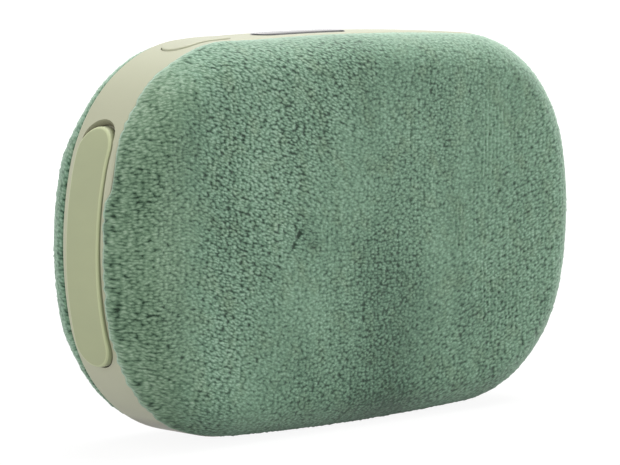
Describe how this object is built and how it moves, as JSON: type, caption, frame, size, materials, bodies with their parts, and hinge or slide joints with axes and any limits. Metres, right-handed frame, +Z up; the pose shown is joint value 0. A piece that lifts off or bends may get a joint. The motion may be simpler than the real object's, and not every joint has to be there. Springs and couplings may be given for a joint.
{
  "type": "rechargeable hand warmer",
  "caption": "Pad-shaped rechargeable hand warmer: plush faces on a plastic band with a bending port flap, a press button and a display window.",
  "frame": {"origin": "middle of the lowest line, where the warmer stands on its long bottom edge", "axes": "+X along the long side, away from the port flap; -Y out of the front plush face; +Z up"},
  "size_m": [0.121, 0.0256, 0.0742],
  "materials": {
    "plush_green": "short pile",
    "band_plastic": "fine satin",
    "flap_silicone": "soft matt",
    "button_plastic": "satin",
    "lens_black": "polished",
    "sponge": "open foam",
    "shell_plastic": "moulded",
    "plate_aluminium": "rolled",
    "film_amber": "clear amber film",
    "trace_copper": "etched",
    "felt_grey": "felt",
    "pouch_foil": "embossed foil",
    "tape_white": "adhesive",
    "nickel": "strip",
    "board_green": "solder mask",
    "chip_black": "moulded",
    "ferrite": "sintered",
    "capacitor_tan": "fired",
    "port_steel": "drawn",
    "port_plastic": "moulded",
    "contact_gold": "plated",
    "screw_steel": "turned",
    "wire_red": "insulation",
    "wire_black": "insulation",
    "wire_white": "insulation",
    "gasket_black": "foam rubber",
    "module_black": "moulded",
    "tray_black": "moulded"
  },
  "bodies": {
    "casing": {"band_frame": "band_plastic", "battery_lead_black": "wire_black", "battery_lead_red": "wire_red", "board_chips": "chip_black", "board_screws": "screw_steel", "capacitors": "capacitor_tan", "cell_links": "nickel", "display_board": "board_green", "display_gasket": "gasket_black", "display_lens": "lens_black", "display_module": "module_black", "display_ribbon": "wire_white", "display_screws": "screw_steel", "flap_anchor": "flap_silicone", "front_cell": "pouch_foil", "front_cell_tape": "tape_white", "front_foam": "sponge", "front_heat_plate": "plate_aluminium", "front_heater_film": "film_amber", "front_heater_leads": "wire_white", "front_heater_trace": "trace_copper", "front_insulation": "felt_grey", "front_plush": "plush_green", "front_shell": "shell_plastic", "inductor": "ferrite", "main_board": "board_green", "port_panel": "band_plastic", "protection_board": "board_green", "rear_cell": "pouch_foil", "rear_cell_tape": "tape_white", "rear_foam": "sponge", "rear_heat_plate": "plate_aluminium", "rear_heater_film": "film_amber", "rear_heater_leads": "wire_white", "rear_heater_trace": "trace_copper", "rear_insulation": "felt_grey", "rear_plush": "plush_green", "rear_shell": "shell_plastic", "switch_board": "board_green", "switch_body": "chip_black", "switch_leads": "wire_white", "switch_screws": "screw_steel", "thermistor": "chip_black", "thermistor_leads": "wire_white", "tray": "tray_black", "tray_screws": "screw_steel", "usb_a_contacts": "contact_gold", "usb_a_shell": "port_steel", "usb_a_tongue": "port_plastic", "usb_c_shell": "port_steel", "usb_c_tongue": "port_plastic"},
    "flap": {"port_flap": "flap_silicone"},
    "button": {"power_button": "button_plastic"},
    "stem": {"switch_stem": "port_plastic"}
  },
  "joints": [
    {"name": "flap_hinge", "type": "hinge", "parent": "casing", "child": "flap", "pos_m": [-0.05863, 0, 0.01973], "axis": [0, -1, 0], "range_deg": [0, 110], "stiffness_Nm_per_rad": 0.003},
    {"name": "power_press", "type": "slide", "parent": "casing", "child": "button", "axis": [0.0964, 0, -0.9953], "range_m": [0, 0.0005], "stiffness_N_per_m": 400},
    {"name": "stem_press", "type": "slide", "parent": "casing", "child": "stem", "axis": [0.0964, 0, -0.9953], "range_m": [0, 0.0005]}
  ],
  "couplings": [
    {"joint": "stem_press", "follows": "power_press", "ratio": 1}
  ]
}
